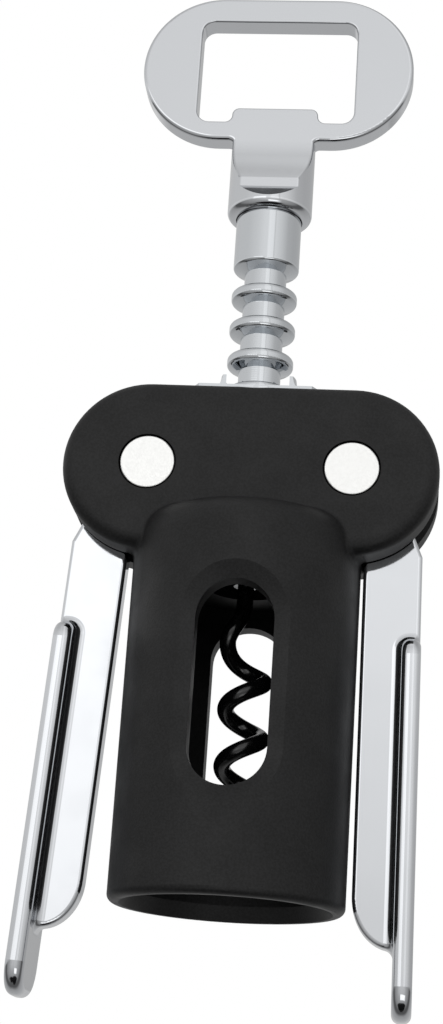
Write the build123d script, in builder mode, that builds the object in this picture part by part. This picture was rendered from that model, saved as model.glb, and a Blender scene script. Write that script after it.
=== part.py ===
"""Lever corkscrew: a moulded housing, two geared levers, a ringed rack and a turning opener handle.

Millimetres, +Z up. The spindle runs along +Z towards the opener, X runs across the two levers, and
the front faces -Y. The parts are drawn at rest: levers hanging down, rack and worm fully up. They
are drawn with z = 0 at the bell's mouth, and saved with the origin at the lower end of the socket's
wall, MOUTH_LEAD_H further up, because that is where a bottle's neck is held.
"""
import os
from math import cos, degrees, exp, hypot, radians, sin, sqrt

from build123d import *

os.makedirs("parts", exist_ok=True)

# ---------------------------------------------------------------- driving dimensions

# housing
SOCKET_R = 15.6              # bore that takes a bottle's neck
SOCKET_DEPTH = 11.0          # from the mouth to the step that stops on the bottle's lip
BELL_WALL = 3.15             # round the socket
LIP_STEP = 2.1               # width of that step
MOUTH_ROUND = 1.2
MOUTH_LEAD_W = 1.3           # funnel that leads the bottle in
MOUTH_LEAD_H = 2.5
DECK_T = 4.3                 # between the cavity and the slot's floor
SHOULDER_DROP = 7.35         # top of the barrel, below the pivots
SHOULDER_ROUND = 5.0
CHEEK_Y = 9.0                # half the thickness over both cheeks
CHEEK_ROUND = 2.3            # soft edge round each cheek
EAR_R = 14.25                # round end of the cheeks, about each lever pivot
EAR_TO_FLOOR = 0.2           # the slot's floor, below the ears
SLOT_W = 5.2                 # gap between the cheeks
BLEND_R = 1.2                # inside corner between the barrel and the cheeks
WINDOW_W = 12.4
WINDOW_Z0 = 16.5
WINDOW_DROP = 2.9            # window's top, below the cavity's
WINDOW_BEVEL_W = 2.7         # sloping rim round the window, along the barrel's surface
WINDOW_BEVEL_DEEP = 1.5
CHANNEL_GAP = 0.55           # housing to rack rings

# lever pivots
PIVOT_X = 16.75
PIVOT_Z = 70.75
PIN_R = 3.0
STUD_R = 1.7
STUD_LENGTH = 10.0
HEAD_R = 4.5
HEAD_T = 1.6
HEAD_SUNK = 0.1
HEAD_GAP = 0.25
HEAD_EDGE = 0.25

# rack and gear sectors
TRAVEL = 28.5                # how far the rack comes down
RING_R = 5.63
CORE_R = 3.6
RING_PITCH = 5.97
RACK_PHASE = 0.25            # height of the meshing gap above the pivots
RING_ROOT_HALF = 1.65        # half height of a ring at the core
RING_CROWN_HALF = 0.85       # and of its crown, before rounding
RING_CROWN_ROUND = 0.8
RING_SINK = 0.5  # how far a ring's outline starts inside the core
PITCH_LINE = 1.25            # rack's pitch line, out from the core
TOOTH_TIP_GAP = 0.45
TOOTH_ROOT_GAP = 0.4
TOOTH_TIP_HALF = 0.92
TOOTH_ROOT_HALF = 1.7
COLLAR_R = 5.65
COLLAR_SHOWN = 9.5           # collar below the hub
COLLAR_IN_HUB = 1.6
COLLAR_ROUND = 0.6
COLLAR_CONE_H = 0.9          # cone from the collar's foot in to the core

# levers
BLADE_SIDE_GAP = 0.5         # to each cheek
BLADE_GAP = 0.3              # to the barrel
BLADE_W = 9.55
BLADE_ROUND = 0.7
BLADE_END = 75.75            # below the pivot
BLADE_CORNER = 8.0
BLADE_TOP = 12.6             # the outer edge is straight up to here, below the pivot
NECK_RISE = 3.6              # then it leans in towards the hub, in two lines
NECK_LEAN = 1.45
NECK_TOP_LEAN = 3.85
INNER_RISE = 3.1             # the inner edge leans in from a little higher up
PLATE_PROUD = 0.15           # outer face of the thumb plate, beyond the blade
PLATE_T = 3.1
PLATE_W = 13.5
PLATE_START = 27.0           # below the pivot
PLATE_END = 86.6
PLATE_EDGE = 1.35
PLATE_TIP_CORNER = 5.0
PLATE_TOP_CORNER = 3.0
PLATE_BLEND = 1.5
HANG_LEFT = 3.0              # the two levers hang a little apart, inside the teeth's backlash
HANG_RIGHT = 0.5

# top guide bush
GUIDE_GAP = 0.27             # to the rack's rings
GUIDE_WALL = 2.1
GUIDE_SEAT_DEPTH = 4.0
GUIDE_BRIM = 3.5             # flange beyond the seat
GUIDE_FLANGE_T = 0.7
GUIDE_FLAT_IN = 0.1          # flats, in from the cheeks' soft edges
GUIDE_LIP_T = 0.5
GUIDE_LIP_H = 4.0            # the lip is left standing only over the slot, left and right
GUIDE_FLARE_W = 1.8          # it spreads by this much towards the flange
GUIDE_FLARE_R = 4.5          # in a hollow curve of this radius

# rod, worm and washers
ROD_R = 2.0
ROD_TOP_IN_HUB = 6.6         # rod's top, above the hub's lower end
ROD_FLANGE_R = 4.6
ROD_FLANGE_T = 1.6
ROD_NOSE_R = 2.6
ROD_NOSE_LIFT = 0.5          # lower end of the rod, above the cavity's top
ROD_NOSE_CHAMFER = 0.6
WASHER_T = 0.6
WASHER_EDGE = 0.2
WASHER_BORE_GAP = 0.1
WORM_WIRE_R = 1.35
WORM_R = 3.0                 # radius of the helix's centre line
WORM_OFF = 0.95              # the bent helix sits this far off the rod's axis
WORM_PITCH = 9.3
WORM_TURN_0 = 13.1           # below the shank's end, the wire passes the +X side
WORM_SHANK = 3.0             # straight shank that shows below the rod
WORM_FLARE = 6.8             # height in which the wire swings out to the helix
WORM_EVEN = 11.0             # from here down, below the shank, the helix is even
WORM_LAST_TURN = 165.0       # degrees left in the slowing turn above that
WORM_ABOVE_STEP = 7.2        # end of the full wire, above the socket's step
WORM_POINT = 4.0
WORM_POINT_R = 0.15
WORM_STEPS = 12              # curve points in each turn
SHANK_DEPTH = 5.0

# opener handle
STOP_GAP = 1.2               # hub to guide lip when the rack is fully down
HUB_WALL = 1.55
HUB_BORE_GAP = 0.15          # hub's counterbore to the collar
HUB_ROUND = 1.4
HUB_BOSS_H = 1.7             # full round height, front and back
HUB_SLOPE_H = 2.6            # sloping crescent above it, up to the flat
HUB_FLAT_Y = 5.36            # half the thickness over the hub's two flats
HUB_FLAT_H = 1.7
STEM_SWELL = 8.6             # height in which the flats swell from the stem
SWELL_LEAN = 0.5             # the swell's depth per height where it meets the flats
SWELL_EDGE = 0.5
STEM_LENGTH = 15.0           # from the hub's lower end to the head's lower edge
PLATE_HALF_T = 2.15
OPENING_W = 27.8
OPENING_H = 20.0
OPENING_CORNER = 2.2
OPENING_EDGE = 0.35
RIM_SIDE = 10.15
RIM_TOP = 4.8
RIM_BOTTOM = 3.5
HEAD_ROUND = 0.7
NECK_ROUND = 1.0             # inside corner between the head and the stem
CATCH_HALF = 7.6
CATCH_H = 2.7
CATCH_ROUND = 1.3
CROSS_PIN_R = 1.0
CROSS_PIN_UP = 4.6           # above the hub's lower end
CROSS_PIN_COVER = 1.9        # metal left in front of the blind end of the pin's hole
CROSS_PIN_SUNK = 0.3
CROSS_PIN_EDGE = 0.15

# clearances
RUN = 0.05                   # radial, for a shaft that turns or slides
PRESS = 0.01                 # radial, for a pressed fit
AXIAL = 0.05                 # each side of a thrust washer

# ---------------------------------------------------------------- derived sizes

bell_r = SOCKET_R + BELL_WALL
cavity_r = SOCKET_R - LIP_STEP
slot_floor = PIVOT_Z - EAR_R - EAR_TO_FLOOR
cavity_top = slot_floor - DECK_T
shoulder_z = PIVOT_Z - SHOULDER_DROP
housing_top = PIVOT_Z + EAR_R
window_top = cavity_top - WINDOW_DROP
head_seat_y = CHEEK_Y - HEAD_T - HEAD_SUNK

channel_r = RING_R + CHANNEL_GAP
pitch_r = PIVOT_X - CORE_R - PITCH_LINE
step_count = int(TRAVEL / RING_PITCH) + 3
first_ring_z = PIVOT_Z + RACK_PHASE - RING_PITCH / 2
sleeve_bottom = first_ring_z - RING_PITCH / 2
tooth_pitch_deg = degrees(RING_PITCH / pitch_r)
sector_tip_r = PIVOT_X - CORE_R - TOOTH_TIP_GAP
sector_root_r = PIVOT_X - RING_R - TOOTH_ROOT_GAP
mean_hang = (HANG_LEFT + HANG_RIGHT) / 2

blade_t = SLOT_W - 2 * BLADE_SIDE_GAP
blade_in = bell_r + BLADE_GAP - PIVOT_X
blade_out = blade_in + BLADE_W
plate_out = blade_out + PLATE_PROUD

guide_bore = RING_R + GUIDE_GAP
guide_seat_r = guide_bore + GUIDE_WALL
guide_flange_r = guide_seat_r + GUIDE_BRIM
guide_flat_y = CHEEK_Y - CHEEK_ROUND - GUIDE_FLAT_IN
lip_r = guide_bore + GUIDE_LIP_T
ear_half_y = SLOT_W / 2 - GUIDE_FLAT_IN
lip_z = housing_top + GUIDE_LIP_H

hub_z = lip_z + TRAVEL + STOP_GAP
hub_r = COLLAR_R + HUB_BORE_GAP + HUB_WALL
collar_foot_z = hub_z - COLLAR_SHOWN
collar_top = hub_z + COLLAR_IN_HUB
hub_roof = collar_top + WASHER_T + 2 * AXIAL
rod_top = hub_z + ROD_TOP_IN_HUB
flange_top = sleeve_bottom - WASHER_T - 2 * AXIAL
nose_end = cavity_top + ROD_NOSE_LIFT
shank_end = nose_end - WORM_SHANK
worm_end = SOCKET_DEPTH + WORM_ABOVE_STEP
stem_half = sqrt(hub_r**2 - PLATE_HALF_T**2)
flat_z0 = hub_z + HUB_BOSS_H + HUB_SLOPE_H
flat_z1 = flat_z0 + HUB_FLAT_H
stem_z = flat_z1 + STEM_SWELL
head_length = OPENING_W + 2 * RIM_SIDE
head_height = OPENING_H + RIM_TOP + RIM_BOTTOM
head_z = hub_z + STEM_LENGTH + head_height / 2
opening_z = head_z + (RIM_BOTTOM - RIM_TOP) / 2
cross_pin_z = hub_z + CROSS_PIN_UP
cross_pin_front = HUB_FLAT_Y - CROSS_PIN_COVER


def save(part, name):
    """Move a finished piece so that the socket's wall starts at z = 0, label it and write its STEP file."""
    part = part.moved(Location((0, 0, -MOUTH_LEAD_H)))
    part.label = name
    export_step(part, f"parts/{name}.step")


# ---------------------------------------------------------------- housing

with BuildPart() as body:
    with BuildSketch(Plane.XZ):
        with Locations((0, PIVOT_Z)):
            SlotCenterToCenter(2 * PIVOT_X, 2 * EAR_R)
    extrude(amount=CHEEK_Y, both=True)
    cheek_rims = body.edges().group_by(Axis.Y)
    fillet(cheek_rims[0] + cheek_rims[-1], CHEEK_ROUND)

    # the barrel, turned, with a rounded shoulder and mouth
    with BuildSketch(Plane.XZ) as barrel_profile:
        with Locations((bell_r / 2, shoulder_z / 2)):
            Rectangle(bell_r, shoulder_z)
        outer = barrel_profile.vertices().group_by(Axis.X)[-1]
        fillet(outer.sort_by(Axis.Y)[-1], SHOULDER_ROUND)
        fillet(barrel_profile.vertices().group_by(Axis.X)[-1].sort_by(Axis.Y)[0], MOUTH_ROUND)
    revolve(axis=Axis.Z)

    # inside corner where the barrel meets the cheeks; the fillet follows on round both sides
    corner_lines = [
        edge
        for edge in body.edges().filter_by(Axis.X)
        if abs((edge @ 0.5).Z - shoulder_z) < 0.01
    ]
    fillet(corner_lines, BLEND_R)

    # socket, cavity, rack channel and the seat for the guide, in one turned cut
    with BuildSketch(Plane.XZ):
        with BuildLine():
            Polyline(
                (0, 0),
                (SOCKET_R + MOUTH_LEAD_W, 0),
                (SOCKET_R, MOUTH_LEAD_H),
                (SOCKET_R, SOCKET_DEPTH),
                (cavity_r, SOCKET_DEPTH),
                (cavity_r, cavity_top),
                (channel_r, cavity_top),
                (channel_r, housing_top - GUIDE_SEAT_DEPTH),
                (guide_seat_r, housing_top - GUIDE_SEAT_DEPTH),
                (guide_seat_r, housing_top + 1),
                (0, housing_top + 1),
                close=True,
            )
        make_face()
    revolve(axis=Axis.Z, mode=Mode.SUBTRACT)

    # the slot that the levers swing in
    slot_height = housing_top - slot_floor + 1
    with Locations((0, 0, slot_floor + slot_height / 2)):
        Box(2 * (PIVOT_X + EAR_R) + 2, SLOT_W, slot_height, mode=Mode.SUBTRACT)

    # window, front and back
    with BuildSketch(Plane.XZ):
        with Locations((0, (WINDOW_Z0 + window_top) / 2)):
            SlotOverall(window_top - WINDOW_Z0, WINDOW_W, rotation=90)
    extrude(amount=bell_r + 1, both=True, mode=Mode.SUBTRACT)

    # sloping rim round the window
    window_mid = (WINDOW_Z0 + window_top) / 2
    window_rim = []
    for edge in body.edges():
        middle = edge @ 0.5
        start = edge @ 0
        in_window = abs(middle.Z - window_mid) < (window_top - WINDOW_Z0) / 2 + 0.5
        on_surface = abs(hypot(start.X, start.Y) - bell_r) < 0.01
        if in_window and on_surface and abs(hypot(middle.X, middle.Y) - bell_r) < 0.01:
            window_rim.append(edge)
    chamfer(window_rim, WINDOW_BEVEL_W, WINDOW_BEVEL_DEEP)

    # pivot holes and the seats of the pin heads
    with BuildSketch(Plane.XZ):
        with Locations((-PIVOT_X, PIVOT_Z), (PIVOT_X, PIVOT_Z)):
            Circle(PIN_R + RUN)
    extrude(amount=CHEEK_Y + 1, both=True, mode=Mode.SUBTRACT)
    for side in (-1, 1):
        with BuildSketch(Plane.XZ.offset(side * head_seat_y)):
            with Locations((-PIVOT_X, PIVOT_Z), (PIVOT_X, PIVOT_Z)):
                Circle(HEAD_R + HEAD_GAP)
        extrude(amount=side * (HEAD_T + 1), mode=Mode.SUBTRACT)

save(body.part, "body")

# ---------------------------------------------------------------- guide bush in the housing's top

with BuildPart() as top_guide_bush:
    flange_z = housing_top + GUIDE_FLANGE_T
    with BuildSketch(Plane.XZ):
        with BuildLine():
            Polyline(
                (lip_r, lip_z),
                (guide_bore, lip_z),
                (guide_bore, housing_top - GUIDE_SEAT_DEPTH),
                (guide_seat_r - PRESS, housing_top - GUIDE_SEAT_DEPTH),
                (guide_seat_r - PRESS, housing_top),
                (guide_flange_r, housing_top),
                (guide_flange_r, flange_z),
                (lip_r + GUIDE_FLARE_W, flange_z),
            )
            RadiusArc((lip_r + GUIDE_FLARE_W, flange_z), (lip_r, lip_z), GUIDE_FLARE_R)
        make_face()
    revolve(axis=Axis.Z)
    # flats front and back keep the flange inside the cheeks' soft edges
    for side in (-1, 1):
        with Locations((0, side * (guide_flat_y + guide_flange_r), housing_top + GUIDE_LIP_H / 2)):
            Box(3 * guide_flange_r, 2 * guide_flange_r, GUIDE_LIP_H, mode=Mode.SUBTRACT)

    # and the lip stands only over the slot
    lip_height = GUIDE_LIP_H - GUIDE_FLANGE_T
    for side in (-1, 1):
        with Locations((0, side * (ear_half_y + guide_flange_r), flange_z + lip_height / 2)):
            Box(3 * guide_flange_r, 2 * guide_flange_r, lip_height, mode=Mode.SUBTRACT)

save(top_guide_bush.part, "top_guide_bush")

# ---------------------------------------------------------------- levers


def lever_outline():
    """Blade of a lever seen from the front, out (x) and up (y) from its pivot."""
    corner_start = -BLADE_END + BLADE_CORNER
    with BuildLine() as outline:
        Polyline(
            (blade_out, -BLADE_END),
            (blade_out, -BLADE_TOP),
            (blade_out - NECK_LEAN, NECK_RISE - BLADE_TOP),
            (blade_out - NECK_TOP_LEAN, 0),
            (0, 0),
            (blade_in, INNER_RISE - BLADE_TOP),
            (blade_in, corner_start),
        )
        EllipticalCenterArc(
            (blade_out - PLATE_T, corner_start),
            blade_out - PLATE_T - blade_in,
            BLADE_CORNER,
            start_angle=180,
            arc_size=90,
        )
        Line((blade_out - PLATE_T, -BLADE_END), (blade_out, -BLADE_END))
    return outline


def tooth_outline(angle_deg):
    """One tooth of the sector as four corners, at an angle about the pivot."""
    corners = [
        (sector_root_r - 1, -TOOTH_ROOT_HALF),
        (sector_root_r, -TOOTH_ROOT_HALF),
        (sector_tip_r, -TOOTH_TIP_HALF),
        (sector_tip_r, TOOTH_TIP_HALF),
        (sector_root_r, TOOTH_ROOT_HALF),
        (sector_root_r - 1, TOOTH_ROOT_HALF),
    ]
    turn_cos = cos(radians(angle_deg))
    turn_sin = sin(radians(angle_deg))
    return [(x * turn_cos - y * turn_sin, x * turn_sin + y * turn_cos) for x, y in corners]


def make_lever(side, hang_deg):
    """A lever at side +1 or -1, swung outward from plumb by its hang."""
    hang = radians(hang_deg)
    out_dir = Vector(side * cos(hang), 0, sin(hang))
    blade_plane = Plane(origin=(side * PIVOT_X, 0, PIVOT_Z), x_dir=out_dir, z_dir=(0, -side, 0))
    first_tooth = 180 - degrees(RACK_PHASE / pitch_r) - mean_hang + tooth_pitch_deg

    def runs_out(edge):
        """True for an edge along the lever's outward direction."""
        return abs((edge % 0.5).dot(out_dir)) > 0.99

    # thumb plate, across the blade's outer edge
    with BuildPart() as plate:
        with BuildSketch(blade_plane):
            with Locations((plate_out - PLATE_T / 2, -(PLATE_START + PLATE_END) / 2)):
                Rectangle(PLATE_T, PLATE_END - PLATE_START)
        extrude(amount=PLATE_W / 2, both=True)
        fillet(plate.edges().filter_by(runs_out).sort_by(Axis.Z)[:2], PLATE_TIP_CORNER)
        fillet(plate.edges().filter_by(runs_out).sort_by(Axis.Z)[-2:], PLATE_TOP_CORNER)
        rims = plate.faces().filter_by(lambda f: abs(f.normal_at().dot(out_dir)) > 0.99)
        fillet(rims.edges(), PLATE_EDGE)

    with BuildPart() as lever:
        with BuildSketch(blade_plane):
            with BuildLine():
                add(lever_outline().line)
            make_face()
        extrude(amount=blade_t / 2, both=True)
        fillet(lever.faces().filter_by(Axis.Y).edges(), BLADE_ROUND)
        add(plate.part)
        # inside corners between the blade and the plate
        seams = lever.edges(Select.NEW).filter_by(lambda e: e.length > BLADE_END / 3)
        fillet(seams, PLATE_BLEND)
        # hub and gear sector
        with BuildSketch(blade_plane):
            Circle(sector_root_r)
            for index in range(step_count):
                with BuildLine():
                    Polyline(*tooth_outline(first_tooth - index * tooth_pitch_deg), close=True)
                make_face()
        extrude(amount=blade_t / 2, both=True)
        with BuildSketch(blade_plane):
            Circle(PIN_R + RUN)
        extrude(amount=blade_t, both=True, mode=Mode.SUBTRACT)
    return lever.part


left_lever = make_lever(-1, HANG_LEFT)
save(left_lever, "left_lever")
right_lever = make_lever(1, HANG_RIGHT)
save(right_lever, "right_lever")

# ---------------------------------------------------------------- pivot pins


def make_pin_front(side):
    """Flat head on a hollow barrel, put in from the front."""
    with BuildPart() as pin:
        with BuildSketch(Plane.XZ.offset(head_seat_y)):
            with Locations((side * PIVOT_X, PIVOT_Z)):
                Circle(HEAD_R)
        extrude(amount=HEAD_T)
        fillet(pin.faces().sort_by(Axis.Y)[0].edges(), HEAD_EDGE)
        with BuildSketch(Plane.XZ.offset(head_seat_y)):
            with Locations((side * PIVOT_X, PIVOT_Z)):
                Circle(PIN_R)
                Circle(STUD_R + RUN, mode=Mode.SUBTRACT)
        extrude(amount=-(2 * head_seat_y - HEAD_SUNK))
    return pin.part


def make_pin_rear(side):
    """Flat head on a stud that closes the front half's barrel."""
    with BuildPart() as pin:
        with BuildSketch(Plane.XZ.offset(-head_seat_y)):
            with Locations((side * PIVOT_X, PIVOT_Z)):
                Circle(HEAD_R)
        extrude(amount=-HEAD_T)
        fillet(pin.faces().sort_by(Axis.Y)[-1].edges(), HEAD_EDGE)
        with BuildSketch(Plane.XZ.offset(-head_seat_y)):
            with Locations((side * PIVOT_X, PIVOT_Z)):
                Circle(STUD_R)
        extrude(amount=STUD_LENGTH)
    return pin.part


for side, side_name in ((-1, "left"), (1, "right")):
    save(make_pin_front(side), f"{side_name}_pin_front")
    save(make_pin_rear(side), f"{side_name}_pin_rear")

# ---------------------------------------------------------------- ringed rack sleeve


def ring_outline(z):
    """One ring in the half plane of the sleeve, as a closed loop from the core out."""
    return [
        (CORE_R - RING_SINK, z - RING_ROOT_HALF),
        (CORE_R, z - RING_ROOT_HALF),
        (RING_R, z - RING_CROWN_HALF),
        (RING_R, z + RING_CROWN_HALF),
        (CORE_R, z + RING_ROOT_HALF),
        (CORE_R - RING_SINK, z + RING_ROOT_HALF),
    ]


with BuildPart() as rack_sleeve:
    with BuildSketch(Plane.XZ):
        for index in range(step_count):
            ring_z = first_ring_z + index * RING_PITCH
            with BuildLine():
                Polyline(*ring_outline(ring_z), close=True)
            make_face()
    revolve(axis=Axis.Z)
    circles = rack_sleeve.edges().filter_by(GeomType.CIRCLE)
    fillet(circles.filter_by(lambda e: e.radius > RING_R - 0.01), RING_CROWN_ROUND)
    with BuildSketch(Plane.XY.offset(sleeve_bottom)):
        Circle(CORE_R)
    extrude(amount=collar_top - sleeve_bottom)
    # collar, on a short cone
    with BuildSketch(Plane.XZ) as collar_profile:
        with BuildLine():
            Polyline(
                (0, collar_top),
                (COLLAR_R, collar_top),
                (COLLAR_R, collar_foot_z),
                (CORE_R, collar_foot_z - COLLAR_CONE_H),
                (0, collar_foot_z - COLLAR_CONE_H),
                close=True,
            )
        make_face()
        foot = collar_profile.vertices().group_by(Axis.X)[-1].sort_by(Axis.Y)[0]
        fillet(foot, COLLAR_ROUND)
    revolve(axis=Axis.Z)
    with BuildSketch(Plane.XY.offset(sleeve_bottom)):
        Circle(ROD_R + RUN)
    extrude(amount=collar_top - sleeve_bottom, mode=Mode.SUBTRACT)

save(rack_sleeve.part, "rack_sleeve")

# ---------------------------------------------------------------- rod and worm

with BuildPart() as core_rod:
    with BuildSketch(Plane.XY.offset(flange_top - ROD_FLANGE_T)):
        Circle(ROD_R)
    extrude(amount=rod_top - flange_top + ROD_FLANGE_T)
    with BuildSketch(Plane.XY.offset(flange_top - ROD_FLANGE_T)):
        Circle(ROD_FLANGE_R)
    extrude(amount=ROD_FLANGE_T)
    with BuildSketch(Plane.XY.offset(nose_end)):
        Circle(ROD_NOSE_R)
    extrude(amount=flange_top - ROD_FLANGE_T - nose_end)
    chamfer(core_rod.faces().sort_by(Axis.Z)[0].edges(), ROD_NOSE_CHAMFER)
    with BuildSketch(Plane.XY.offset(nose_end)):
        Circle(WORM_WIRE_R + PRESS)
    extrude(amount=SHANK_DEPTH, mode=Mode.SUBTRACT)
    with BuildSketch(Plane.XZ.offset(-ROD_R - 1)):
        with Locations((0, cross_pin_z)):
            Circle(CROSS_PIN_R + PRESS)
    extrude(amount=2 * (ROD_R + 1), mode=Mode.SUBTRACT)

save(core_rod.part, "core_rod")


def ease(share):
    """Smooth step from 0 to 1."""
    share = min(max(share, 0), 1)
    return share * share * (3 - 2 * share)


def worm_point(z):
    """Centre of the wire at a height: it leaves the shank and winds into an even helix."""
    fall = shank_end - z
    even_z = min(z, shank_end - WORM_EVEN)
    turn = 360 * (even_z - shank_end + WORM_TURN_0) / WORM_PITCH
    slow_rise = max(WORM_EVEN - fall, 0)
    turn += WORM_LAST_TURN * (1 - exp(-360 * slow_rise / WORM_PITCH / WORM_LAST_TURN))
    reach = WORM_R * ease(fall / WORM_FLARE)
    centre_x = WORM_OFF * ease(fall / WORM_EVEN)
    return (centre_x + reach * cos(radians(turn)), reach * sin(radians(turn)), z)


with BuildPart() as worm:
    path_points = []
    z = shank_end
    while z > worm_end:
        path_points.append(worm_point(z))
        z -= WORM_PITCH / WORM_STEPS
    with BuildLine() as wire_line:
        Spline(*path_points)
    with BuildSketch(Plane(origin=wire_line.line @ 0, z_dir=wire_line.line % 0)):
        Circle(WORM_WIRE_R)
    sweep()
    with BuildSketch(Plane.XY.offset(shank_end)):
        Circle(WORM_WIRE_R)
    extrude(amount=nose_end + SHANK_DEPTH - AXIAL - shank_end)
    # the ground point
    point_plane = Plane(origin=wire_line.line @ 1, z_dir=wire_line.line % 1)
    with BuildSketch(point_plane):
        Circle(WORM_WIRE_R)
    with BuildSketch(point_plane.offset(WORM_POINT)):
        Circle(WORM_POINT_R)
    loft()

save(worm.part, "worm")

# ---------------------------------------------------------------- opener handle

with BuildPart() as hub:
    # side view: the stem swells into the hub
    with BuildSketch(Plane.YZ):
        with BuildLine():
            Polyline(
                (PLATE_HALF_T, stem_z),
                (PLATE_HALF_T, head_z - head_height / 2),
                (0, head_z - head_height / 2),
                (0, hub_z),
                (hub_r, hub_z),
                (hub_r, hub_z + HUB_BOSS_H),
                (HUB_FLAT_Y, flat_z0),
                (HUB_FLAT_Y, flat_z1),
            )
            Spline((HUB_FLAT_Y, flat_z1), (PLATE_HALF_T, stem_z), tangents=[(-SWELL_LEAN, 1), (0, 1)])
        make_face()
        mirror(about=Plane.YZ)
    extrude(amount=hub_r, both=True)
    with BuildSketch(Plane.XY.offset(hub_z)):
        Circle(hub_r)
    extrude(amount=head_z - hub_z, mode=Mode.INTERSECT)
    fillet(hub.faces().sort_by(Axis.Z)[0].edges(), HUB_ROUND)
    # the swelling flats' long edges
    swell_edges = [
        edge
        for edge in hub.edges()
        if (edge @ 0.5).Z > flat_z0 + 0.1 and abs(edge.bounding_box().size.Z) > 1
    ]
    fillet(swell_edges, SWELL_EDGE)

with BuildPart() as opener_handle:
    # flat head and stem, cut from one plate
    with BuildSketch(Plane.XZ) as head_outline:
        with Locations((0, head_z)):
            SlotOverall(head_length, head_height)
        with Locations((0, (flat_z1 + head_z) / 2)):
            Rectangle(2 * stem_half, head_z - flat_z1)
        neck = head_outline.vertices().filter_by(lambda v: abs(abs(v.X) - stem_half) < 0.01)
        fillet(neck.group_by(Axis.Y)[-1], NECK_ROUND)
    extrude(amount=PLATE_HALF_T, both=True)
    rims = opener_handle.edges().group_by(Axis.Y)
    fillet(rims[0] + rims[-1], HEAD_ROUND)
    # crown cap opening with its catch
    with BuildSketch(Plane.XZ) as opening:
        with Locations((0, opening_z)):
            Rectangle(OPENING_W, OPENING_H)
        fillet(opening.vertices(), OPENING_CORNER)
        with Locations((0, opening_z - OPENING_H / 2 + CATCH_H / 2)):
            Rectangle(2 * CATCH_HALF, CATCH_H, mode=Mode.SUBTRACT)
        catch = opening.vertices().filter_by(lambda v: abs(abs(v.X) - CATCH_HALF) < 0.01)
        fillet(catch, CATCH_ROUND)
    extrude(amount=PLATE_HALF_T + 1, both=True, mode=Mode.SUBTRACT)
    rims = opener_handle.edges().group_by(Axis.Y)
    opening_rims = [
        edge
        for edge in rims[0] + rims[-1]
        if abs((edge @ 0.5).X) < OPENING_W / 2 + 0.1
        and abs((edge @ 0.5).Z - opening_z) < OPENING_H / 2 + 0.1
    ]
    fillet(opening_rims, OPENING_EDGE)
    add(hub.part)
    # counterbore that hides the collar, bore for the rod, and the cross pin's blind hole
    with BuildSketch(Plane.XY.offset(hub_z)):
        Circle(COLLAR_R + HUB_BORE_GAP)
    extrude(amount=hub_roof - hub_z, mode=Mode.SUBTRACT)
    with BuildSketch(Plane.XY.offset(hub_roof)):
        Circle(ROD_R + PRESS)
    extrude(amount=rod_top + AXIAL - hub_roof, mode=Mode.SUBTRACT)
    with BuildSketch(Plane.XZ.offset(cross_pin_front)):
        with Locations((0, cross_pin_z)):
            Circle(CROSS_PIN_R + PRESS)
    extrude(amount=-(cross_pin_front + hub_r + 1), mode=Mode.SUBTRACT)

save(opener_handle.part, "opener_handle")

with BuildPart() as handle_cross_pin:
    with BuildSketch(Plane.XZ.offset(cross_pin_front - AXIAL)):
        with Locations((0, cross_pin_z)):
            Circle(CROSS_PIN_R)
    extrude(amount=-(cross_pin_front - AXIAL + HUB_FLAT_Y - CROSS_PIN_SUNK))
    chamfer(handle_cross_pin.faces().filter_by(Axis.Y).edges(), CROSS_PIN_EDGE)

save(handle_cross_pin.part, "handle_cross_pin")

# ---------------------------------------------------------------- thrust washers


def make_washer(z, outer_r):
    """Flat washer round the rod, standing on height z."""
    with BuildPart() as washer:
        with BuildSketch(Plane.XY.offset(z)):
            Circle(outer_r)
            Circle(ROD_R + WASHER_BORE_GAP, mode=Mode.SUBTRACT)
        extrude(amount=WASHER_T)
    return washer.part


save(make_washer(collar_top + AXIAL, COLLAR_R - WASHER_EDGE), "hub_washer")
save(make_washer(flange_top + AXIAL, ROD_FLANGE_R - WASHER_EDGE), "flange_washer")
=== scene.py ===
"""Lever corkscrew in soft studio light: moulded black housing, chromed levers, rack and opener."""
from math import cos, pi, radians, sin

import bpy
from mathutils import Matrix, Vector

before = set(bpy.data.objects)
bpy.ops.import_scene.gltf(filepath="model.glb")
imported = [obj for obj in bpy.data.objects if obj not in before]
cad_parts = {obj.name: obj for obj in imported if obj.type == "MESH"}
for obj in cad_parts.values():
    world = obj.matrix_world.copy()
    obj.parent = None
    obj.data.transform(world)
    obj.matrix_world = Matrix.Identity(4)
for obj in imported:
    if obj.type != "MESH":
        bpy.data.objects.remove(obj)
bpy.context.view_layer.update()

# ---- Housing -----------------------------------------------------------------------------------
# One moulding in glass-filled nylon with a matt black soft-touch coat: bell, barrel and two cheeks.
# The coat scatters light broadly and shows a fine speckle and faint cloudiness where it's handled.


def linear(hex_colour):
    """An sRGB hex colour as the linear RGBA that the shaders take."""
    channels = [int(hex_colour[i:i + 2], 16) / 255 for i in (1, 3, 5)]
    return [c / 12.92 if c <= 0.04045 else ((c + 0.055) / 1.055) ** 2.4 for c in channels] + [1.0]


def node(tree, kind, links=(), settings=(), **values):
    """Add a shader node: its own settings, its input values by name, and links as (input, output)."""
    made = tree.nodes.new(kind)
    for name, value in settings:
        setattr(made, name, value)
    for name, value in values.items():
        made.inputs[name.replace("_", " ")].default_value = value
    for socket, source in links:
        tree.links.new(source, made.inputs[socket])
    return made


def finish(name, **values):
    """A material whose Principled shader has these input values."""
    material = bpy.data.materials.new(name)
    material.use_nodes = True
    shader = material.node_tree.nodes["Principled BSDF"]
    for key, value in values.items():
        shader.inputs[key.replace("_", " ")].default_value = value
    return material


def grain(material, size_mm, detail=3.0):
    """Noise on the piece itself, whose grains are about size_mm across."""
    tree = material.node_tree
    place = node(tree, "ShaderNodeTexCoord")
    return node(tree, "ShaderNodeTexNoise", [("Vector", place.outputs["Object"])],
                Scale=1000 / size_mm, Detail=detail)


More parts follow.
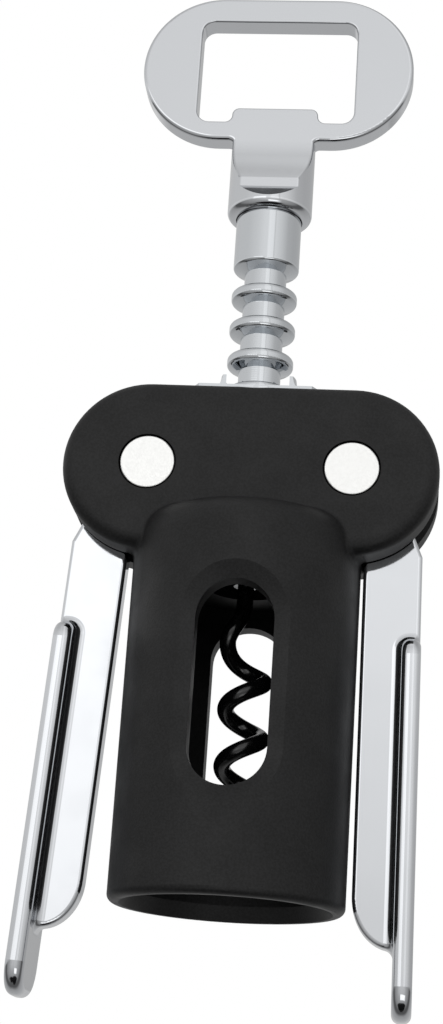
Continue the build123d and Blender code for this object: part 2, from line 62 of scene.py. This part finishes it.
def vary(material, socket, noise, low, high, spread=0.12):
    """Drive one shader input from noise, between two values or two colours."""
    tree = material.node_tree
    shader = tree.nodes["Principled BSDF"]
    if isinstance(low, list):
        ramp = node(tree, "ShaderNodeValToRGB", [("Fac", noise.outputs["Fac"])])
        ramp.color_ramp.elements[0].position = 0.5 - spread
        ramp.color_ramp.elements[0].color = low
        ramp.color_ramp.elements[1].position = 0.5 + spread
        ramp.color_ramp.elements[1].color = high
        tree.links.new(ramp.outputs["Color"], shader.inputs[socket])
    else:
        scaled = node(tree, "ShaderNodeMapRange", [("Value", noise.outputs["Fac"])],
                      From_Min=0.5 - spread, From_Max=0.5 + spread, To_Min=low, To_Max=high)
        tree.links.new(scaled.outputs["Result"], shader.inputs[socket])


def emboss(material, pattern, height_mm, strength):
    """Bump the surface by a pattern whose full height is height_mm."""
    tree = material.node_tree
    bump = node(tree, "ShaderNodeBump", [("Height", pattern.outputs["Fac"])],
                Strength=strength, Distance=height_mm / 1000)
    tree.links.new(bump.outputs["Normal"], tree.nodes["Principled BSDF"].inputs["Normal"])


def paint(node_name, material):
    """Give a CAD node its finish."""
    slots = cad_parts[node_name].data.materials
    slots.clear()
    slots.append(material)


soft_touch_black = finish("soft_touch_black_nylon", Specular_IOR_Level=0.34)
speckle = grain(soft_touch_black, 0.35)
vary(soft_touch_black, "Base Color", speckle, linear("#0b0b0b"), linear("#181819"))
vary(soft_touch_black, "Roughness", grain(soft_touch_black, 9.0), 0.46, 0.56)
emboss(soft_touch_black, speckle, 0.05, 0.5)
paint("body", soft_touch_black)

# ---- Chromed castings and turnings -------------------------------------------------------------
# Levers and opener are zinc castings, polished and chromed; the rack and the guide bush are turned.
# Polished castings keep a slight waviness that bends reflections, and turnings keep faint tool rings.

cast_chrome = finish("chrome_on_polished_casting", Base_Color=linear("#cfd1d4"), Metallic=1.0, Roughness=0.07)
emboss(cast_chrome, grain(cast_chrome, 14.0, detail=1.0), 0.25, 0.35)
vary(cast_chrome, "Roughness", grain(cast_chrome, 6.0), 0.05, 0.10)
for name in ("left_lever", "right_lever", "opener_handle"):
    paint(name, cast_chrome)

turned_chrome = finish("chrome_on_turned_steel", Base_Color=linear("#cdd0d3"), Metallic=1.0, Roughness=0.07)
place = node(turned_chrome.node_tree, "ShaderNodeTexCoord")
# the cutting tool's rings, up the part's axis; at scale 1 the texture's bands are 2 pi / 20 apart
ring_pitch = 0.0004
tool_rings = node(turned_chrome.node_tree, "ShaderNodeTexWave", [("Vector", place.outputs["Object"])],
                  settings=[("bands_direction", "Z")], Scale=2 * pi / 20 / ring_pitch, Distortion=0.4)
emboss(turned_chrome, tool_rings, 0.002, 0.3)
for name in ("rack_sleeve", "top_guide_bush"):
    paint(name, turned_chrome)

# ---- Pivot pins, rod and cross pin -------------------------------------------------------------
# Bright satin steel: the pins' flat heads are tumbled to an even, nearly white sheen; the rod is ground.

satin_steel = finish("tumbled_satin_steel", Base_Color=linear("#f4f4f2"), Metallic=1.0, Roughness=0.34)
tumbling = grain(satin_steel, 0.25)
vary(satin_steel, "Roughness", tumbling, 0.30, 0.40)
emboss(satin_steel, tumbling, 0.004, 0.4)
for name in ("left_pin_front", "left_pin_rear", "right_pin_front", "right_pin_rear"):
    paint(name, satin_steel)

ground_steel = finish("ground_steel_rod", Base_Color=linear("#c3c4c6"), Metallic=1.0, Roughness=0.25)
emboss(ground_steel, grain(ground_steel, 0.2), 0.004, 0.3)
for name in ("core_rod", "handle_cross_pin"):
    paint(name, ground_steel)

# ---- Worm --------------------------------------------------------------------------------------
# Spring-steel wire, wound and ground to a point, with a slick black baked coating that pools
# smoothly over the drawn wire and gives long soft highlights.

black_coating = finish("black_baked_coating", Base_Color=linear("#0b0b0c"), Roughness=0.2, Coat_Weight=0.3)
vary(black_coating, "Roughness", grain(black_coating, 1.2), 0.14, 0.28)
emboss(black_coating, grain(black_coating, 0.8), 0.02, 0.4)
paint("worm", black_coating)

# ---- Thrust washers ----------------------------------------------------------------------------
# Two natural nylon rings inside, sawn from tube and slightly translucent.

natural_nylon = finish("natural_nylon", Roughness=0.5, Subsurface_Weight=0.1, Subsurface_Scale=0.0005)
vary(natural_nylon, "Base Color", grain(natural_nylon, 0.6), linear("#d2d0c8"), linear("#dfddd6"))
for name in ("hub_washer", "flange_washer"):
    paint(name, natural_nylon)

# ---- Studio ------------------------------------------------------------------------------------
# A pale floor inside a white tent. The tent is light grey, with a soft panel low on the left, and
# below the horizon the table and the shadow under the camera draw the dark lines in the chrome.

floor_z = -0.0475
bpy.ops.mesh.primitive_plane_add(size=6, location=(0, 0, floor_z))
floor = bpy.context.object
floor.name = "studio_floor"
pale_floor = finish("pale_floor", Base_Color=linear("#e9e9e7"), Roughness=0.9)
vary(pale_floor, "Roughness", grain(pale_floor, 40.0), 0.85, 0.95)
floor.data.materials.append(pale_floor)
floor.visible_glossy = False

world = bpy.data.worlds.new("white_tent")
bpy.context.scene.world = world
world.use_nodes = True
tent = world.node_tree


def maths(operation, first, second=0.0):
    """One maths node on two outputs or numbers."""
    made = node(tent, "ShaderNodeMath", settings=[("operation", operation)])
    for index, value in enumerate((first, second)):
        if isinstance(value, (int, float)):
            made.inputs[index].default_value = value
        else:
            tent.links.new(value, made.inputs[index])
    return made.outputs["Value"]


def profile(position, stops):
    """Brightness along a quantity, from (quantity, brightness) stops in rising order."""
    low, high = stops[0][0], stops[-1][0]
    placed = maths("DIVIDE", maths("SUBTRACT", position, low), high - low)
    ramp = node(tent, "ShaderNodeValToRGB", [("Fac", placed)])
    elements = ramp.color_ramp.elements
    for quantity, _ in stops[1:-1]:
        elements.new((quantity - low) / (high - low))
    for element, (_, brightness) in zip(elements, stops):
        element.color = (brightness, brightness, brightness, 1)
    return ramp.outputs["Color"]


def within(position, fade_in, full_from, full_to, fade_out):
    """One between two values of a quantity and nothing beyond them, with soft ends."""
    rise = profile(position, [(fade_in, 0.0), (full_from, 1.0)])
    return maths("MULTIPLY", rise, profile(position, [(full_to, 1.0), (fade_out, 0.0)]))


direction = node(tent, "ShaderNodeTexCoord").outputs["Generated"]
parts = node(tent, "ShaderNodeSeparateXYZ", [("Vector", direction)])
bearing = maths("ARCTAN2", parts.outputs["X"], maths("MULTIPLY", parts.outputs["Y"], -1.0))
bearing = maths("MULTIPLY", bearing, 180 / pi)
height = parts.outputs["Z"]

# brightness round the tent by bearing, in degrees from the front, and up it by the sine of elevation
round_tent = profile(bearing, [
    (-180, 0.62), (-108, 0.76), (-68, 0.78), (-30, 0.90), (-8, 1.02), (3, 1.04), (7, 1.22),
    (25, 1.16), (28, 0.78), (31, 1.0), (52, 0.86), (80, 0.62), (108, 0.56), (180, 0.55),
])
up_tent = profile(height, [
    (0.0, 0.80), (0.1, 0.90), (0.28, 1.14), (0.38, 0.98), (0.46, 0.96), (0.62, 0.90), (0.85, 0.80),
    (1.0, 0.86),
])
# a soft panel low on the left, which turns the left lever nearly white
panel = maths("MULTIPLY", within(bearing, -44, -38, -8.4, -7.2), within(height, -0.06, 0.04, 0.33, 0.38))
upper = maths("ADD", maths("MULTIPLY", round_tent, up_tent), maths("MULTIPLY", panel, 0.5))

# below the horizon, from the table in front, past the dark under the object, to the table behind
table = profile(parts.outputs["Y"], [
    (-1, 0.74), (-0.90, 0.62), (-0.80, 0.50), (-0.30, 0.30), (-0.1, 0.12), (0.15, 0.12),
    (0.4, 0.42), (1, 0.60),
])
# the shadow under the camera, and the table's bright front edge just above it
shade = maths("MULTIPLY", within(bearing, -62, -46, 50, 66), within(height, -1.05, -0.985, -0.82, -0.78))
edge = maths("MULTIPLY", within(bearing, -4, -1.5, 22, 36), within(height, -0.69, -0.66, -0.42, -0.36))
lower = maths("MULTIPLY", table, maths("SUBTRACT", 1.0, maths("MULTIPLY", shade, 0.97)))
lower = maths("ADD", lower, maths("MULTIPLY", edge, 1.1))
above_table = profile(height, [(-0.03, 0.0), (0.03, 1.0)])
tent_light = node(tent, "ShaderNodeMix", [("Factor", above_table), ("A", lower), ("B", upper)])
camera_sees = node(tent, "ShaderNodeLightPath").outputs["Is Camera Ray"]
shown = node(tent, "ShaderNodeMix", [("Factor", camera_sees), ("A", tent_light.outputs["Result"])], B=1.0)
tent.links.new(shown.outputs["Result"], tent.nodes["Background"].inputs["Color"])

# ---- Camera ------------------------------------------------------------------------------------
# Close, below the handle and a little to the right, and tilted slightly.

view_azimuth = radians(5.91)
view_elevation = radians(-17.86)
view_distance = 0.33911
view_roll = radians(3.91)
aim = Vector((-0.00488, 0, 0.06284))
outward = Vector((sin(view_azimuth) * cos(view_elevation),
                  -cos(view_azimuth) * cos(view_elevation),
                  sin(view_elevation)))
camera_data = bpy.data.cameras.new("catalogue_camera")
camera_data.lens = 71.58
camera_data.clip_start = 0.01
camera = bpy.data.objects.new("catalogue_camera", camera_data)
bpy.context.scene.collection.objects.link(camera)
camera.matrix_world = (
    Matrix.Translation(aim + view_distance * outward)
    @ outward.to_track_quat("Z", "Y").to_matrix().to_4x4()
    @ Matrix.Rotation(view_roll, 4, "Z")
)
bpy.context.scene.camera = camera
bpy.context.scene.view_settings.view_transform = "Standard"
